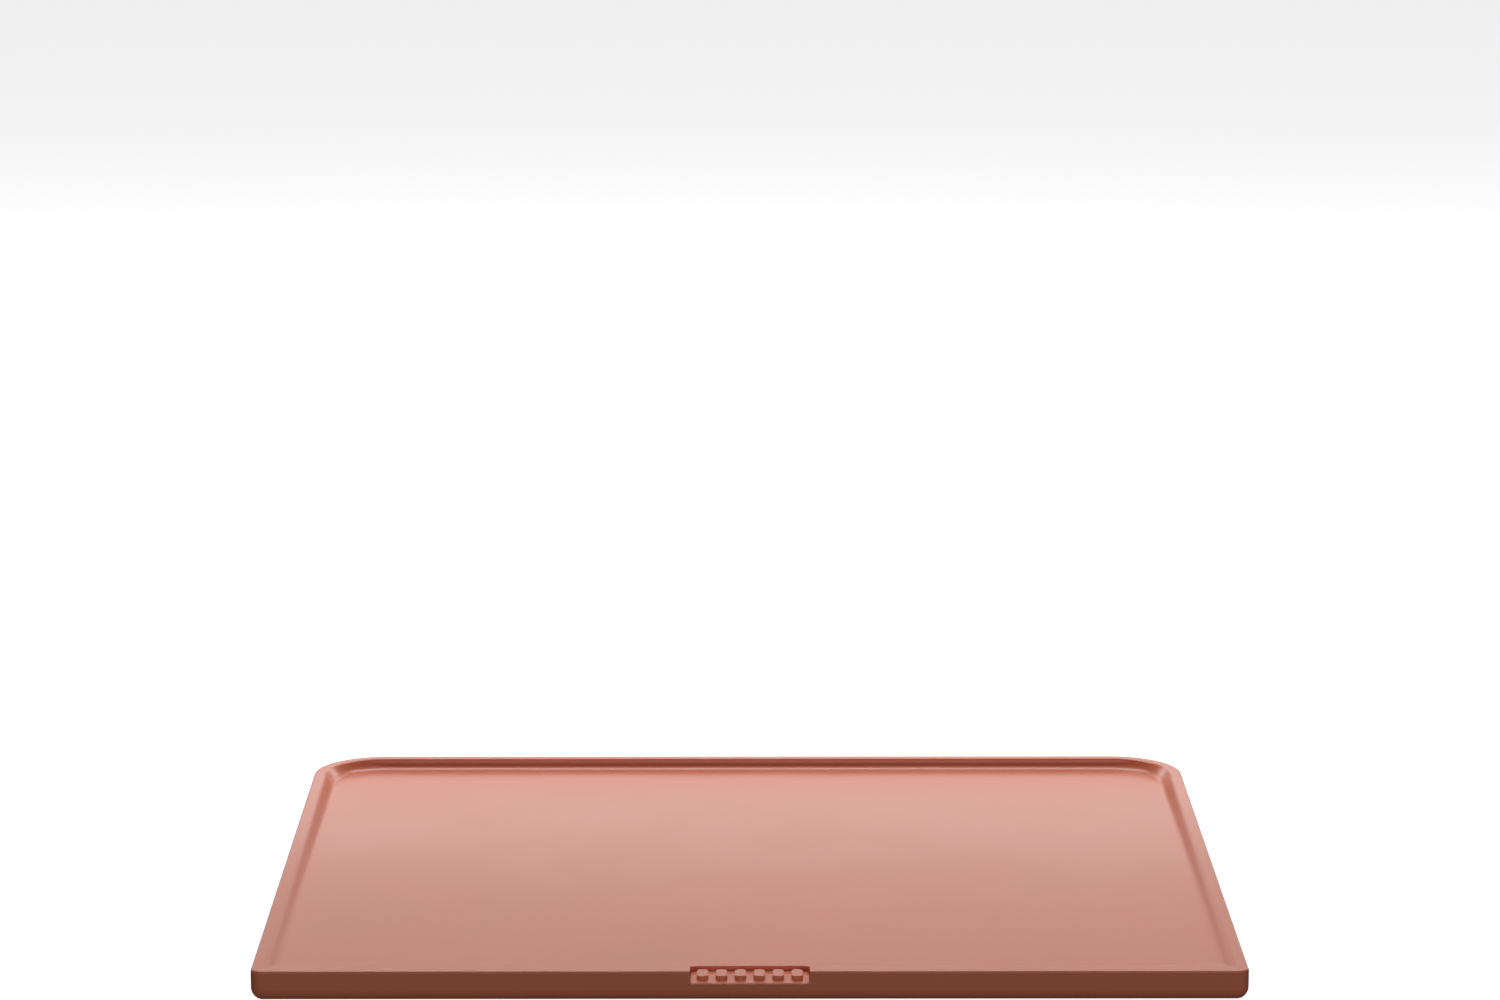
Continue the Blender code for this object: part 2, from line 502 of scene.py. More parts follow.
def dish_ring(share, sizes):
    """One level line of the dish, from the crest at share 0 to the floor at share 1."""
    drop = (1 - math.cos(math.pi * share)) / 2
    side = sizes.side_crest + (sizes.side_end - sizes.side_crest) * share
    front = sizes.front_crest + (sizes.front_end - sizes.front_crest) * drop
    back = sizes.back_crest + cove_inset(sizes.dish_depth * drop, sizes)
    crest_radius = sizes.front_corner - sizes.front_crest
    return {
        "side": side,
        "front": front,
        "back": back,
        "front_radius": crest_radius + (sizes.sharp_corner - crest_radius) * drop,
        "back_radius": sizes.back_corner - (side + back) / 2,
        "z": BODY_HIGH.z - sizes.dish_depth * drop,
    }


def apply_boolean(piece, other, operation):
    """Cuts the other piece away from this one, or joins it on, and removes it."""
    make_active(piece)
    modifier = piece.modifiers.new("joint", "BOOLEAN")
    modifier.operation = operation
    modifier.solver = "EXACT"
    modifier.object = other
    bpy.ops.object.modifier_apply(modifier=modifier.name)
    bpy.data.objects.remove(other, do_unlink=True)


def add_block(name, low, high):
    """A block between two corners, in object mode."""
    clear_selection()
    middle = [(low[axis] + high[axis]) / 2 for axis in range(3)]
    bpy.ops.mesh.primitive_cube_add(size=1.0, location=middle)
    piece = bpy.context.object
    piece.name = name
    piece.scale = [high[axis] - low[axis] for axis in range(3)]
    bpy.ops.object.transform_apply(location=True, rotation=True, scale=True)
    return piece


def close_shell():
    """Turns every face of the piece in edit mode outwards."""
    bpy.ops.mesh.select_all(action="SELECT")
    bpy.ops.mesh.normals_make_consistent(inside=False)
    bpy.ops.mesh.select_all(action="DESELECT")


def merge_flat_faces(piece):
    """Takes out the edges between faces that lie in one plane."""
    edit(piece, "EDGE")
    bpy.ops.mesh.select_all(action="SELECT")
    bpy.ops.mesh.dissolve_limited(angle_limit=FLAT_ANGLE, use_dissolve_boundaries=False)
    clear_selection()


def raise_face(rise):
    bpy.ops.mesh.extrude_region_move(TRANSFORM_OT_translate={"value": (0, 0, rise)})


def round_edges(radius, segments):
    """Rounds the selected edges of the piece in edit mode."""
    bpy.ops.mesh.bevel(offset=radius, segments=segments, profile=0.5, affect="EDGES")


def between_edges(edge, low, high):
    """True where an edge lies inside a box."""
    for vert in edge.verts:
        for axis in range(3):
            if not low[axis] - TINY <= vert.co[axis] <= high[axis] + TINY:
                return False
    return True


def is_on_line(edge, y, z):
    """True where an edge runs along X at this depth and level."""
    return all(abs(vert.co.y - y) < NEAR and abs(vert.co.z - z) < NEAR for vert in edge.verts)


def is_at_level(edge, z):
    return all(abs(vert.co.z - z) < TINY for vert in edge.verts)


def is_outer_edge(edge, least):
    """True where two faces meet in a ridge that turns by more than the given angle."""
    return edge.is_manifold and edge.is_convex and edge.calc_face_angle(0.0) > least


def finish_surface(piece, material):
    """Smooth shading that leaves large flat faces flat. The piece then joins the tray."""
    make_active(piece)
    bpy.ops.object.shade_smooth_by_angle(angle=SMOOTH_ANGLE, keep_sharp_edges=True)
    modifier = piece.modifiers.new("flat faces", "WEIGHTED_NORMAL")
    modifier.mode = "FACE_AREA"
    modifier.keep_sharp = True
    bpy.ops.object.modifier_apply(modifier=modifier.name)
    piece.data.materials.clear()
    piece.data.materials.append(material)
    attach(piece, "root")
    clear_selection()


# ---------------------------------------------------------------- materials


# How far in from an edge its painted highlight, a lighter band, reaches, in metres
EDGE_HIGHLIGHT_RADIUS = 0.0008

# The body's plastic: how far its roughness strays each way, and its index of refraction
GLOSS_SPREAD = 0.015
BODY_IOR = 1.48


def new_group(name, inputs, outputs):
    """An empty shader group. Inputs are (name, type, default) and outputs are (name, type)."""
    group = bpy.data.node_groups.new(name, "ShaderNodeTree")
    for label, kind, default in inputs:
        socket = group.interface.new_socket(name=label, in_out="INPUT", socket_type=kind)
        if default is not None:
            socket.default_value = default
    for label, kind in outputs:
        group.interface.new_socket(name=label, in_out="OUTPUT", socket_type=kind)
    return group, group.nodes.new("NodeGroupInput"), group.nodes.new("NodeGroupOutput")


def add_math(group, operation, first, second):
    """A math node in a group. Each side is a socket or a number."""
    node = group.nodes.new("ShaderNodeMath")
    node.operation = operation
    for slot, value in ((0, first), (1, second)):
        if isinstance(value, (int, float)):
            node.inputs[slot].default_value = value
        else:
            group.links.new(value, node.inputs[slot])
    return node.outputs["Value"]


def make_moulded_grain():
    """Fine pebbled texture of a spark-finished mould: small cells broken up by a finer noise."""
    inputs = [("Place", "NodeSocketVector", None), ("Cells per metre", "NodeSocketFloat", 2000.0)]
    group, given, out = new_group("moulded_grain", inputs, [("Height", "NodeSocketFloat")])
    cells = group.nodes.new("ShaderNodeTexVoronoi")
    cells.feature = "SMOOTH_F1"
    noise = group.nodes.new("ShaderNodeTexNoise")
    noise.inputs["Detail"].default_value = 3.0
    noise.inputs["Roughness"].default_value = 0.6
    for texture in (cells, noise):
        group.links.new(given.outputs["Place"], texture.inputs["Vector"])
        group.links.new(given.outputs["Cells per metre"], texture.inputs["Scale"])
    both = add_math(group, "ADD", cells.outputs["Distance"], noise.outputs["Fac"])
    group.links.new(add_math(group, "MULTIPLY", both, 0.5), out.inputs["Height"])
    return group


def make_slow_variation():
    """Broad, soft clouds: where a moulding cooled or was handled a little differently."""
    inputs = [("Place", "NodeSocketVector", None), ("Clouds per metre", "NodeSocketFloat", 9.0)]
    inputs += [("Low", "NodeSocketFloat", 0.0), ("High", "NodeSocketFloat", 1.0)]
    group, given, out = new_group("slow_variation", inputs, [("Mask", "NodeSocketFloat")])
    noise = group.nodes.new("ShaderNodeTexNoise")
    noise.inputs["Detail"].default_value = 4.0
    noise.inputs["Roughness"].default_value = 0.45
    group.links.new(given.outputs["Place"], noise.inputs["Vector"])
    group.links.new(given.outputs["Clouds per metre"], noise.inputs["Scale"])
    spread = group.nodes.new("ShaderNodeMapRange")
    spread.interpolation_type = "SMOOTHSTEP"
    spread.inputs["From Min"].default_value = 0.3
    spread.inputs["From Max"].default_value = 0.7
    group.links.new(noise.outputs["Fac"], spread.inputs["Value"])
    group.links.new(given.outputs["Low"], spread.inputs["To Min"])
    group.links.new(given.outputs["High"], spread.inputs["To Max"])
    group.links.new(spread.outputs["Result"], out.inputs["Mask"])
    return group


def make_painted_edge_highlight():
    """Near 1 on edges, where a painted highlight lightens the colour, and 0 on open faces, broken up by
    noise.
    """
    inputs = [("Place", "NodeSocketVector", None), ("Strength", "NodeSocketFloat", 1.0)]
    group, given, out = new_group("edge_polish", inputs, [("Mask", "NodeSocketFloat")])
    rounded = group.nodes.new("ShaderNodeBevel")
    rounded.samples = 4
    rounded.inputs["Radius"].default_value = EDGE_HIGHLIGHT_RADIUS
    surface = group.nodes.new("ShaderNodeNewGeometry")
    facing = group.nodes.new("ShaderNodeVectorMath")
    facing.operation = "DOT_PRODUCT"
    group.links.new(rounded.outputs["Normal"], facing.inputs[0])
    group.links.new(surface.outputs["Normal"], facing.inputs[1])
    turned = add_math(group, "SUBTRACT", 1.0, facing.outputs["Value"])
    patches = group.nodes.new("ShaderNodeTexNoise")
    patches.inputs["Scale"].default_value = 160.0
    group.links.new(given.outputs["Place"], patches.inputs["Vector"])
    broken = add_math(group, "MULTIPLY", turned, patches.outputs["Fac"])
    # Painted highlight mask: how much the edge colour is lightened
    highlit = group.nodes.new("ShaderNodeMath")
    highlit.operation = "MULTIPLY"
    highlit.use_clamp = True
    group.links.new(broken, highlit.inputs[0])
    group.links.new(given.outputs["Strength"], highlit.inputs[1])
    group.links.new(highlit.outputs["Value"], out.inputs["Mask"])
    return group


def shared_group(name, maker):
    return bpy.data.node_groups.get(name) or maker()


class Finish:
    """A material under way: its shader, its place on the piece, and the groups set into it."""

    def __init__(self, name, roughness):
        self.material = bpy.data.materials.new(name)
        self.material.use_nodes = True
        self.tree = self.material.node_tree
        self.shader = self.tree.nodes["Principled BSDF"]
        self.shader.inputs["Metallic"].default_value = 0.0
        self.shader.inputs["Roughness"].default_value = roughness
        place = self.tree.nodes.new("ShaderNodeTexCoord")
        self.place = place.outputs["Object"]

    def add(self, group, **values):
        node = self.tree.nodes.new("ShaderNodeGroup")
        node.node_tree = group
        self.tree.links.new(self.place, node.inputs["Place"])
        for name, value in values.items():
            node.inputs[name.replace("_", " ")].default_value = value
        return node.outputs[0]

    def shade(self, colour, darker, lighter, mask):
        """Colour that moves between a slightly darker and a slightly lighter tone with the mask."""
        mix = self.tree.nodes.new("ShaderNodeMix")
        mix.data_type = "RGBA"
        mix.inputs["A"].default_value = tone(colour, darker)
        mix.inputs["B"].default_value = tone(colour, lighter)
        self.tree.links.new(mask, mix.inputs["Factor"])
        return mix.outputs["Result"]

    def lighten(self, base, colour, factor, mask):
        """The base colour, moved towards a lighter tone of this colour where the mask is 1."""
        mix = self.tree.nodes.new("ShaderNodeMix")
        mix.data_type = "RGBA"
        mix.inputs["B"].default_value = tone(colour, factor)
        self.tree.links.new(base, mix.inputs["A"])
        self.tree.links.new(mask, mix.inputs["Factor"])
        return mix.outputs["Result"]

    def bump(self, height, distance):
        node = self.tree.nodes.new("ShaderNodeBump")
        node.inputs["Strength"].default_value = 1.0
        node.inputs["Distance"].default_value = distance
        self.tree.links.new(height, node.inputs["Height"])
        self.tree.links.new(node.outputs["Normal"], self.shader.inputs["Normal"])

    def feed(self, socket, output):
        self.tree.links.new(output, self.shader.inputs[socket])


def tone(colour, factor):
    return (*[min(1.0, value * factor) for value in colour], 1)


def satin_terracotta(name, colours):
    """Smooth satin moulding: even colour with the faintest clouds, fine grain and a painted highlight on
    the edges.
    """
    finish = Finish(name, roughness=colours.gloss)
    clouds = finish.add(shared_group("slow_variation", make_slow_variation), Clouds_per_metre=7.0)
    # Painted highlight: the body's colour is lightened along its edges, in place of the light they catch
    edge_highlight = finish.add(shared_group("edge_polish", make_painted_edge_highlight), Strength=0.35)
    grain = finish.add(shared_group("moulded_grain", make_moulded_grain), Cells_per_metre=2600.0)
    base = finish.shade(colours.terracotta, darker=0.985, lighter=1.015, mask=clouds)
    finish.feed("Base Color", finish.lighten(base, colours.terracotta, factor=1.12, mask=edge_highlight))
    rough = shared_group("slow_variation", make_slow_variation)
    low, high = colours.gloss - GLOSS_SPREAD, colours.gloss + GLOSS_SPREAD
    finish.feed("Roughness", finish.add(rough, Clouds_per_metre=16.0, Low=low, High=high))
    finish.bump(grain, distance=0.000006)
    finish.shader.inputs["IOR"].default_value = BODY_IOR
    return finish.material


def textured_brown(name, colours):
    """Base panel: a darker plastic with an even, matt spark texture."""
    finish = Finish(name, roughness=0.62)
    clouds = finish.add(shared_group("slow_variation", make_slow_variation), Clouds_per_metre=14.0)
    # Painted highlight: the panel's colour is lightened along its edges
    edge_highlight = finish.add(shared_group("edge_polish", make_painted_edge_highlight), Strength=0.6)
    grain = finish.add(shared_group("moulded_grain", make_moulded_grain), Cells_per_metre=1400.0)
    base = finish.shade(colours.panel, darker=0.94, lighter=1.06, mask=clouds)
    finish.feed("Base Color", finish.lighten(base, colours.panel, factor=1.4, mask=edge_highlight))
    rough = shared_group("slow_variation", make_slow_variation)
    finish.feed("Roughness", finish.add(rough, Clouds_per_metre=30.0, Low=0.56, High=0.68))
    finish.bump(grain, distance=0.00006)
    return finish.material


def foot_rubber(name, colours):
    """Soft black rubber with a dusty bloom and a fine matt grain."""
    finish = Finish(name, roughness=0.82)
    clouds = finish.add(shared_group("slow_variation", make_slow_variation), Clouds_per_metre=220.0)
    grain = finish.add(shared_group("moulded_grain", make_moulded_grain), Cells_per_metre=2200.0)
    base = finish.shade(colours.rubber, darker=0.8, lighter=1.5, mask=clouds)
    finish.feed("Base Color", base)
    rough = shared_group("slow_variation", make_slow_variation)
    finish.feed("Roughness", finish.add(rough, Clouds_per_metre=300.0, Low=0.74, High=0.9))
    finish.bump(grain, distance=0.00003)
    finish.shader.inputs["Specular IOR Level"].default_value = 0.35
    return finish.material


# ---------------------------------------------------------------- the pieces


# How finely curves are cut
BODY_CORNER_STEPS = 28
BOTTOM_STEPS = 12
TOP_STEPS = 6
SLOPE_STEPS = 26
SLOT_CORNER_STEPS = 10
BAR_CORNER_STEPS = 8
PANEL_CORNER_STEPS = 20
FOOT_STEPS = 96
EDGE_SEGMENTS = 3
FOOT_EDGE_SEGMENTS = 4

# Ribs, gaps between pieces, and the edges round the slot
RIBS_EACH_WAY = 2
OVERLAP = 0.001
PANEL_GAP = 0.0003
BADGE_GAP = 0.0002
SLOT_FRONT_ROUND = 0.0002
RIDGE_ANGLE = math.radians(40)

# The lip round the base panel and the level of its ledge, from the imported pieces
PANEL_LIP = PANEL_LOW.x - BODY_LOW.x - PANEL_GAP
LEDGE_LEVEL = PANEL_HIGH.z + PANEL_GAP


def body_rings(sizes):
    """The body's level outlines: down the hollow, over the ledge, and up the outside to the dish."""
    opening = PANEL_LIP + sizes.ledge
    ceiling = BODY_HIGH.z - sizes.dish_depth - sizes.skin
    outer = [(opening, ceiling), (opening, LEDGE_LEVEL)]
    outer += [(PANEL_LIP, LEDGE_LEVEL), (PANEL_LIP, BODY_LOW.z)]
    outer += quarter_round(sizes.bottom_edge, BODY_LOW.z + sizes.bottom_edge, -90, BOTTOM_STEPS)
    outer += quarter_round(sizes.top_edge, BODY_HIGH.z - sizes.top_edge, 0, TOP_STEPS)
    rings = [even_ring(inset, z, sizes) for inset, z in outer]
    rings += [dish_ring(step / SLOPE_STEPS, sizes) for step in range(SLOPE_STEPS + 1)]
    return rings


def stiffen(body, sizes):
    """Joins the ribs and the slot's pad on to the ceiling of the hollow."""
    bottom = LEDGE_LEVEL + PANEL_GAP
    top = BODY_HIGH.z - sizes.dish_depth - sizes.skin + OVERLAP
    inset = PANEL_LIP + sizes.ledge - OVERLAP
    half = sizes.rib / 2
    reach_x = BODY_HIGH.x - inset
    reach_y = BODY_HIGH.y - inset
    for number in range(RIBS_EACH_WAY):
        share = (number + 1) / (RIBS_EACH_WAY + 1)
        x = BODY_LOW.x + share * (BODY_HIGH.x - BODY_LOW.x)
        y = BODY_LOW.y + share * (BODY_HIGH.y - BODY_LOW.y)
        along = add_block("rib", (x - half, -reach_y, bottom), (x + half, reach_y, top))
        apply_boolean(body, along, "UNION")
        across = add_block("rib", (-reach_x, y - half, bottom), (reach_x, y + half, top))
        apply_boolean(body, across, "UNION")
    side = sizes.slot_width / 2 + sizes.pad_margin
    back = BODY_LOW.y + sizes.slot_length + sizes.pad_margin
    apply_boolean(body, add_block("pad", (-side, -reach_y, bottom), (side, back, top)), "UNION")


def cut_slot(body, sizes):
    """Sinks the badge's pocket, opens the slot through the front face, and rounds the slot's edges."""
    side = sizes.slot_width / 2
    front = BODY_LOW.y
    back = front + sizes.slot_length
    floor = BODY_HIGH.z - sizes.slot_depth
    above = BODY_HIGH.z + OVERLAP
    pocket_floor = BADGE_LOW.z - PANEL_GAP
    radii = (SLOT_FRONT_ROUND, sizes.slot_corner)
    low = (-side, front + sizes.slot_lip)
    pocket = add_rounded_face("pocket", low, (side, back), radii, pocket_floor, SLOT_CORNER_STEPS)
    raise_face(above - pocket_floor)
    close_shell()
    clear_selection()
    mouth_back = front + sizes.slot_lip + OVERLAP
    mouth = add_block("mouth", (-side, front - OVERLAP, floor), (side, mouth_back, above))
    apply_boolean(pocket, mouth, "UNION")
    merge_flat_faces(pocket)
    apply_boolean(body, pocket, "DIFFERENCE")
    merge_flat_faces(body)
    round_slot_edges(body, sizes)


def round_slot_edges(body, sizes):
    """Rounds the ridge that runs round the slot, from the lip up the front face and along the rim."""
    side = sizes.slot_width / 2 + LOOSE
    low = (-side, BODY_LOW.y - LOOSE, BODY_HIGH.z - sizes.slot_depth - LOOSE)
    high = (side, BODY_LOW.y + sizes.slot_length + LOOSE, BODY_HIGH.z + LOOSE)
    edit(body, "EDGE")
    select_where(
        "edges",
        lambda edge: between_edges(edge, low, high) and is_outer_edge(edge, RIDGE_ANGLE),
    )
    round_edges(sizes.slot_edge, EDGE_SEGMENTS)
    clear_selection()


def crease_ramp_foot(body, sizes):
    """Keeps the straight line where the front ramp meets the floor crisp."""
    foot_y = BODY_LOW.y + sizes.front_end
    floor_z = BODY_HIGH.z - sizes.dish_depth
    edit(body, "EDGE")
    select_where("edges", lambda edge: is_on_line(edge, foot_y, floor_z))
    bpy.ops.mesh.mark_sharp()
    clear_selection()


class TRAY_OT_body(bpy.types.Operator):
    """Makes the moulded body: rounded wall, soft rim, front ramp, dish, badge slot and ribbed hollow"""

    bl_idname = "tray.body"
    bl_label = "Body"

    def execute(self, context):
        sizes = context.scene.tray_sizes
        rings = body_rings(sizes)
        body = add_ring_face("tray_shell", rings[0], BODY_CORNER_STEPS)
        for old_ring, new_ring in zip(rings, rings[1:]):
            next_ring(old_ring, new_ring)
        close_shell()
        merge_flat_faces(body)
        stiffen(body, sizes)
        cut_slot(body, sizes)
        crease_ramp_foot(body, sizes)
        material = satin_terracotta("satin_terracotta", context.scene.tray_colours)
        finish_surface(body, material)
        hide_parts("tray_body")
        return {"FINISHED"}


class TRAY_OT_badge(bpy.types.Operator):
    """Makes the plain badge: a thin plate with a row of equal rounded bars"""

    bl_idname = "tray.badge"
    bl_label = "Badge"

    def execute(self, context):
        sizes = context.scene.tray_sizes
        row = context.scene.badge_sizes
        plate_top = BODY_HIGH.z - sizes.slot_depth
        radii = (SLOT_FRONT_ROUND, sizes.slot_corner - BADGE_GAP)
        badge = add_rounded_face("badge", BADGE_LOW, BADGE_HIGH, radii, BADGE_LOW.z, SLOT_CORNER_STEPS)
        raise_face(plate_top - BADGE_LOW.z)
        close_shell()
        row_width = sizes.slot_width - 2 * row.side_margin
        bar_width = (row_width - (row.bar_count - 1) * row.bar_slit) / row.bar_count
        left = -row_width / 2
        bar_low = (left, BODY_LOW.y + row.front_margin)
        bar_high = (left + bar_width, BODY_LOW.y + sizes.slot_length - row.back_margin)
        bottom = (BADGE_LOW.z + plate_top) / 2
        radius = (bar_width - row.bar_end_flat) / 2
        bar = add_rounded_face("bar", bar_low, bar_high, (radius, radius), bottom, BAR_CORNER_STEPS)
        raise_face(BADGE_HIGH.z - bottom)
        close_shell()
        edit(bar, "EDGE")
        select_where("edges", lambda edge: is_at_level(edge, BADGE_HIGH.z))
        round_edges(row.bar_edge, EDGE_SEGMENTS)
        clear_selection()
        bars = [bar]
        for _ in range(row.bar_count - 1):
            make_active(bars[-1])
            step = (bar_width + row.bar_slit, 0, 0)
            bpy.ops.object.duplicate_move(TRANSFORM_OT_translate={"value": step})
            bars.append(bpy.context.object)
        for bar in bars:
            make_active(bar)
            bpy.ops.object.transform_apply(location=True, rotation=True, scale=True)
            apply_boolean(badge, bar, "UNION")
        material = satin_terracotta("satin_badge", context.scene.tray_colours)
        finish_surface(badge, material)
        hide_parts("badge_plate")
        return {"FINISHED"}


class TRAY_OT_base(bpy.types.Operator):
    """Makes the base panel with a rounded edge and a recess for each foot"""

    bl_idname = "tray.base"
    bl_label = "Base panel"

    def execute(self, context):
        sizes = context.scene.tray_sizes
        base = context.scene.base_sizes
        inset = PANEL_LIP + PANEL_GAP
        radii = (sizes.sharp_corner, sizes.back_corner - inset)
        bottom = PANEL_LOW.z
        panel = add_rounded_face("base_panel", PANEL_LOW, PANEL_HIGH, radii, bottom, PANEL_CORNER_STEPS)
        raise_face(PANEL_HIGH.z - PANEL_LOW.z)
        close_shell()
        edit(panel, "EDGE")
        select_where("edges", lambda edge: is_at_level(edge, PANEL_LOW.z))
        round_edges(base.panel_edge, EDGE_SEGMENTS)
        clear_selection()
        for name in FEET:
            low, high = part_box(name)
            middle = (low + high) / 2
            radius = (high.x - low.x) / 2 + base.recess_gap
            top = high.z + base.recess_gap
            height = top - PANEL_LOW.z + OVERLAP
            place = (middle.x, middle.y, top - height / 2)
            clear_selection()
            bpy.ops.mesh.primitive_cylinder_add(
                vertices=FOOT_STEPS, radius=radius, depth=height, location=place
            )
            cutter = bpy.context.object
            bpy.ops.object.transform_apply(location=True, rotation=True, scale=True)
            apply_boolean(panel, cutter, "DIFFERENCE")
            round_recess(panel, middle, radius, base.panel_edge)
        material = textured_brown("textured_brown", context.scene.tray_colours)
        finish_surface(panel, material)
        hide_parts("underside_panel")
        return {"FINISHED"}


def round_recess(panel, middle, radius, edge_radius):
    """Rounds the mouth of one foot recess."""
    reach = radius + LOOSE
    low = (middle.x - reach, middle.y - reach, PANEL_LOW.z)
    high = (middle.x + reach, middle.y + reach, PANEL_LOW.z)
    edit(panel, "EDGE")
    select_where("edges", lambda edge: between_edges(edge, low, high))
    round_edges(edge_radius, EDGE_SEGMENTS)
    clear_selection()


class TRAY_OT_feet(bpy.types.Operator):
    """Makes one turned rubber foot, with a rounded lower edge and a ring groove, and copies it"""

    bl_idname = "tray.feet"
    bl_label = "Feet"

    def execute(self, context):
        base = context.scene.base_sizes
        low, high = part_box(FEET[0])
        middle = (low + high) / 2
        radius = (high.x - low.x) / 2
        clear_selection()
        place = (middle.x, middle.y, high.z)
        bpy.ops.mesh.primitive_circle_add(
            vertices=FOOT_STEPS, radius=radius, fill_type="NGON", location=place
        )
        first = bpy.context.object
        bpy.ops.object.transform_apply(location=True, rotation=True, scale=True)
        edit(first, "FACE")
        bpy.ops.mesh.select_all(action="SELECT")
        raise_face(low.z - high.z)
        bpy.ops.mesh.inset(thickness=base.groove_inset)
        bpy.ops.mesh.inset(thickness=base.groove_width)
        close_shell()
        ring = (radius - base.groove_inset - base.groove_width, radius - base.groove_inset)
        select_where("faces", lambda face: is_in_ring(face, middle, ring, low.z))
        raise_face(base.groove_depth)
        select_where("edges", lambda edge: is_on_rim(edge, middle, radius, low.z))
        round_edges(base.foot_edge, FOOT_EDGE_SEGMENTS)
        close_shell()
        clear_selection()
        rubber = foot_rubber("foot_rubber", context.scene.tray_colours)
        for number, name in enumerate(FEET):
            foot = first
            if number:
                make_active(first)
                bpy.ops.object.duplicate_move(TRANSFORM_OT_translate={"value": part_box(name)[0] - low})
                foot = bpy.context.object
                bpy.ops.object.transform_apply(location=True, rotation=True, scale=True)
            foot.name = "rubber_" + name
            finish_surface(foot, rubber)
            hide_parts(name)
        return {"FINISHED"}


def reach_from(point, middle):
    return math.hypot(point.x - middle.x, point.y - middle.y)


def is_in_ring(face, middle, ring, z):
    """True for a flat face at this level whose middle lies between two radii."""
    point = face.calc_center_median()
    is_level = abs(point.z - z) < TINY and len(face.verts) == 4
    return is_level and ring[0] < reach_from(point, middle) < ring[1]


def is_on_rim(edge, middle, radius, z):
    return is_at_level(edge, z) and all(reach_from(v.co, middle) > radius - TINY for v in edge.verts)


# ---------------------------------------------------------------- the stage


# The camera: its place in metres from the tray's middle and crest, its angles in degrees, its lens in
# millimetres, and how far it sees in metres
CAMERA_X = -0.00569
CAMERA_BACK = 2.14815
CAMERA_ABOVE_CREST = 0.58042
CAMERA_PITCH = 11.15
CAMERA_TURN = -0.1662
CAMERA_LENS = 122.834
CAMERA_REACH = 50

WHITE = (1, 1, 1, 1)
WORLD_LIGHT = 0.02
FLOOR_SIDE = 16.0
FLOOR_COLOUR = (0.8, 0.8, 0.8, 1)
FLOOR_ROUGHNESS = 0.9
FLOOR_GLOW = 0.85

# Each softbox: name, place, width, height and watts. All face the tray's middle.
STAGE_MIDDLE = Vector((0, 0, 0))
SOFTBOXES = (
    ("high_strip", (0.0, 0.8, 1.6), 2.0, 0.16, 21.0),
    ("high_behind", (0.0, 1.3, 1.5), 2.0, 0.16, 3.0),
    ("behind", (0.0, 1.6, 0.8), 2.4, 0.5, 5.0),
    ("low_strip", (0.0, 0.26, 0.06), 1.2, 0.05, 0.24),
    ("front", (0.0, -1.6, 0.3), 2.0, 0.4, 6.0),
    ("behind_left", (-0.95, 1.5, 0.5), 0.5, 0.3, 1.3),
    ("behind_right", (0.95, 1.5, 0.5), 0.5, 0.3, 1.5),
    ("left", (-1.3, -0.3, 0.4), 0.8, 0.5, 0.5),
    ("right", (1.3, -0.3, 0.4), 0.8, 0.5, 1.1),
)


def add_softbox(name, place, width, height, watts):
    clear_selection()
    turn = (STAGE_MIDDLE - Vector(place)).to_track_quat("-Z", "Y").to_euler()
    bpy.ops.object.light_add(type="AREA", location=place, rotation=turn)
    lamp = bpy.context.object
    lamp.name = name
    lamp.data.shape = "RECTANGLE"
    lamp.data.size = width
    lamp.data.size_y = height
    lamp.data.energy = watts
    lamp.visible_camera = False


def make_studio_world(scene):
    """Pure white to the eye, and a dimmer even light on the tray."""
    world = bpy.data.worlds.new("studio")
    scene.world = world
    world.use_nodes = True
    nodes = world.node_tree.nodes
    links = world.node_tree.links
    lit = nodes["Background"]
    lit.inputs["Color"].default_value = WHITE
    lit.inputs["Strength"].default_value = WORLD_LIGHT
    seen = nodes.new("ShaderNodeBackground")
    seen.inputs["Color"].default_value = WHITE
    seen.inputs["Strength"].default_value = 1.0
    ray = nodes.new("ShaderNodeLightPath")
    mix = nodes.new("ShaderNodeMixShader")
    links.new(ray.outputs["Is Camera Ray"], mix.inputs["Fac"])
    links.new(lit.outputs["Background"], mix.inputs[1])
    links.new(seen.outputs["Background"], mix.inputs[2])
    links.new(mix.outputs["Shader"], nodes["World Output"].inputs["Surface"])


def make_floor():
    """A wide white floor that the tray rests on. It is seen, but throws no light back on the tray."""
    clear_selection()
    bpy.ops.mesh.primitive_plane_add(size=FLOOR_SIDE, location=(0, 0, 0))
    floor = bpy.context.object
    floor.name = "studio_floor"
    material = bpy.data.materials.new("studio_white")
    material.use_nodes = True
    shader = material.node_tree.nodes["Principled BSDF"]
    shader.inputs["Base Color"].default_value = FLOOR_COLOUR
    shader.inputs["Roughness"].default_value = FLOOR_ROUGHNESS
    shader.inputs["Specular IOR Level"].default_value = 0.0
    shader.inputs["Emission Color"].default_value = WHITE
    shader.inputs["Emission Strength"].default_value = FLOOR_GLOW
    floor.data.materials.append(material)
    floor.visible_diffuse = False
    floor.visible_glossy = False


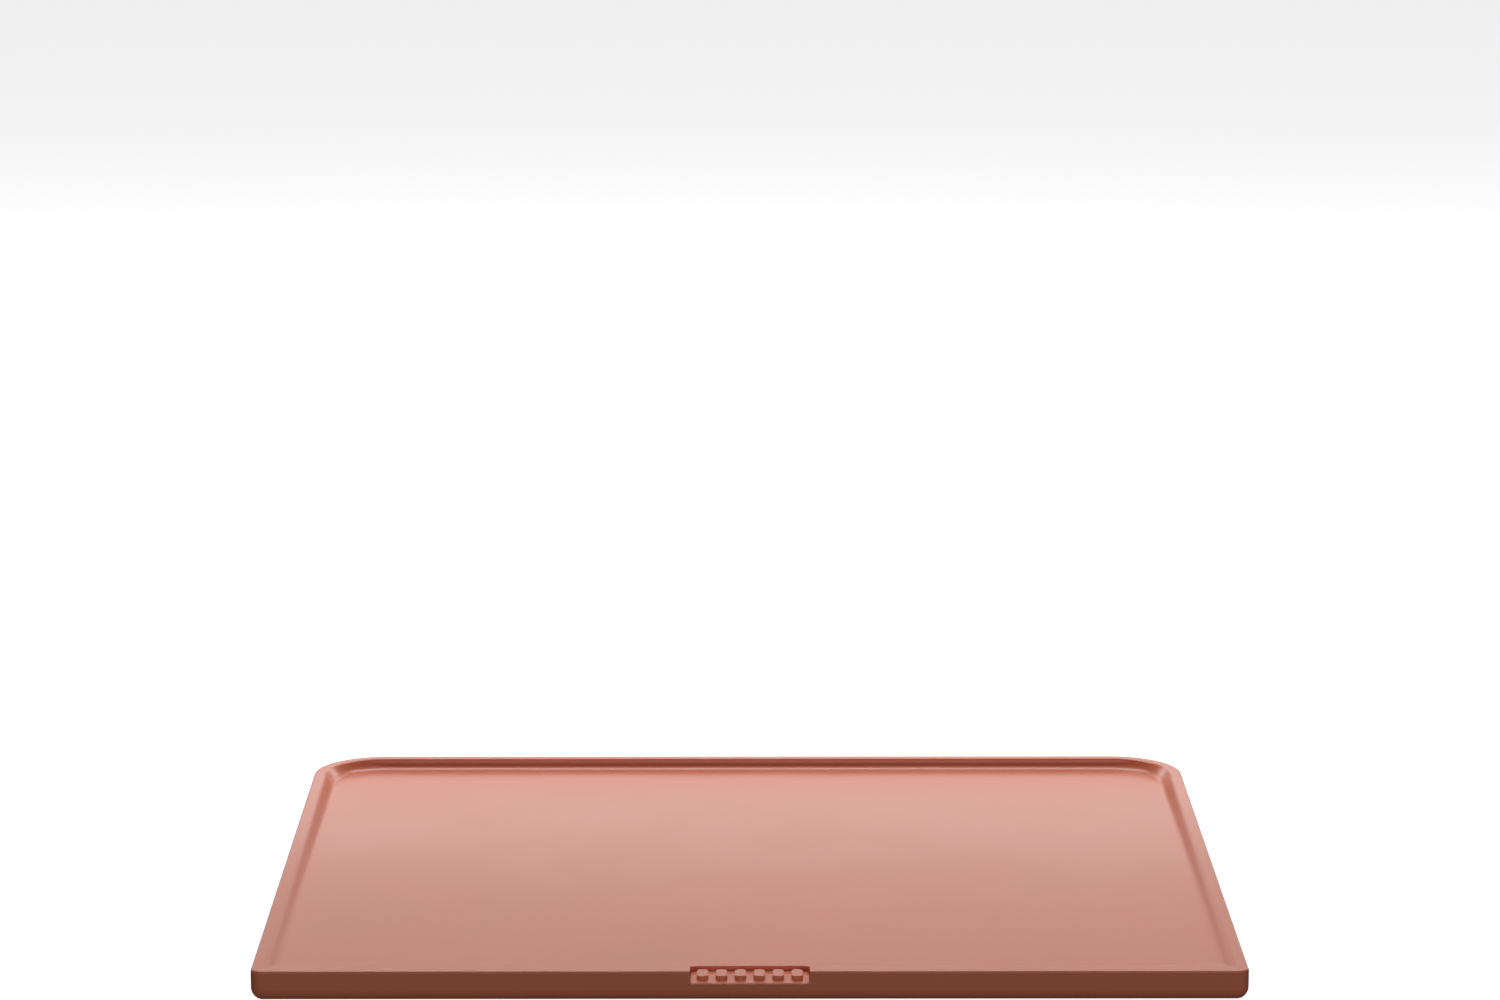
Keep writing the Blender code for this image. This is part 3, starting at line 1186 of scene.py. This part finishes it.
class TRAY_OT_stage(bpy.types.Operator):
    """Makes the floor, the camera and the studio lights"""

    bl_idname = "tray.stage"
    bl_label = "Stage"

    def execute(self, context):
        scene = context.scene
        clear_selection()
        place = (CAMERA_X, -CAMERA_BACK, BODY_HIGH.z + CAMERA_ABOVE_CREST)
        turn = (math.radians(90 - CAMERA_PITCH), 0, math.radians(CAMERA_TURN))
        bpy.ops.object.camera_add(location=place, rotation=turn)
        camera = bpy.context.object
        camera.data.lens = CAMERA_LENS
        camera.data.clip_end = CAMERA_REACH
        scene.camera = camera
        make_studio_world(scene)
        make_floor()
        for softbox in SOFTBOXES:
            add_softbox(*softbox)
        scene.view_settings.view_transform = "Standard"
        return {"FINISHED"}


class TRAY_PT_sidebar(bpy.types.Panel):
    """The tray's pieces, sizes and colours, in the 3D view's sidebar"""

    bl_label = "Countertop tray"
    bl_idname = "TRAY_PT_sidebar"
    bl_space_type = "VIEW_3D"
    bl_region_type = "UI"
    bl_category = "Tray"

    def draw(self, context):
        column = self.layout.column(align=True)
        for piece in PIECES:
            column.operator(piece.bl_idname)
        for owner in (getattr(context.scene, name) for name in SETTINGS):
            column.separator()
            for name in type(owner).__annotations__:
                column.prop(owner, name)


PIECES = (TRAY_OT_body, TRAY_OT_badge, TRAY_OT_base, TRAY_OT_feet, TRAY_OT_stage)
SETTINGS = {
    "tray_sizes": TraySizes,
    "badge_sizes": BadgeSizes,
    "base_sizes": BaseSizes,
    "tray_colours": TrayColours,
}
CLASSES = (*SETTINGS.values(), *PIECES, TRAY_PT_sidebar)


def register():
    for made in CLASSES:
        bpy.utils.register_class(made)
    for name, settings in SETTINGS.items():
        setattr(bpy.types.Scene, name, bpy.props.PointerProperty(type=settings))


def unregister():
    for name in SETTINGS:
        delattr(bpy.types.Scene, name)
    for made in reversed(CLASSES):
        bpy.utils.unregister_class(made)


def main():
    register()
    bpy.ops.tray.body()
    bpy.ops.tray.badge()
    bpy.ops.tray.base()
    bpy.ops.tray.feet()
    bpy.ops.tray.stage()


if __name__ == "__main__":
    main()
